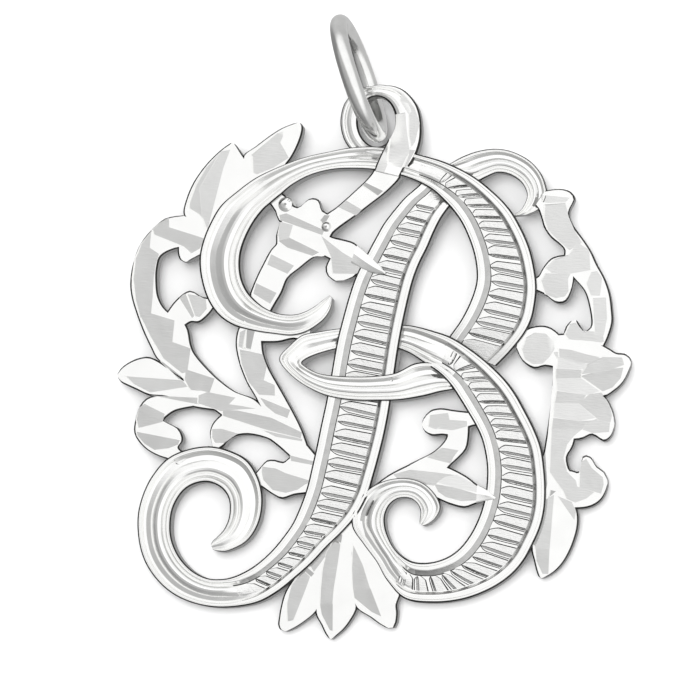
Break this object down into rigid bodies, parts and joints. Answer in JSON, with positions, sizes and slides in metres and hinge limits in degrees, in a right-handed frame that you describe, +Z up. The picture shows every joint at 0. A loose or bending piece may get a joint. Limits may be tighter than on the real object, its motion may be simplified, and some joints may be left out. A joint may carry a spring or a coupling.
{
  "type": "openwork initial pendant on a jump ring",
  "caption": "Flat pierced pendant of leaf scrolls round a letter with ribbed strokes, with a cast eye at its top edge and a loose round-wire jump ring through the eye, lying face up.",
  "frame": {"origin": "middle of the bounding box in X and Y, at the surface on which the pendant lies", "axes": "+Z up, out of the pendant's face; +Y along the pendant towards its eye and jump ring; +X to the right of the letter"},
  "size_m": [0.03, 0.036, 0.0078],
  "materials": {
    "cast_silver": "polished cast silver with bright engraver's cuts on its face",
    "silver_wire": "polished round silver wire"
  },
  "bodies": {
    "root": {"initial_plate": "cast_silver", "jump_ring": "silver_wire"}
  },
  "joints": []
}
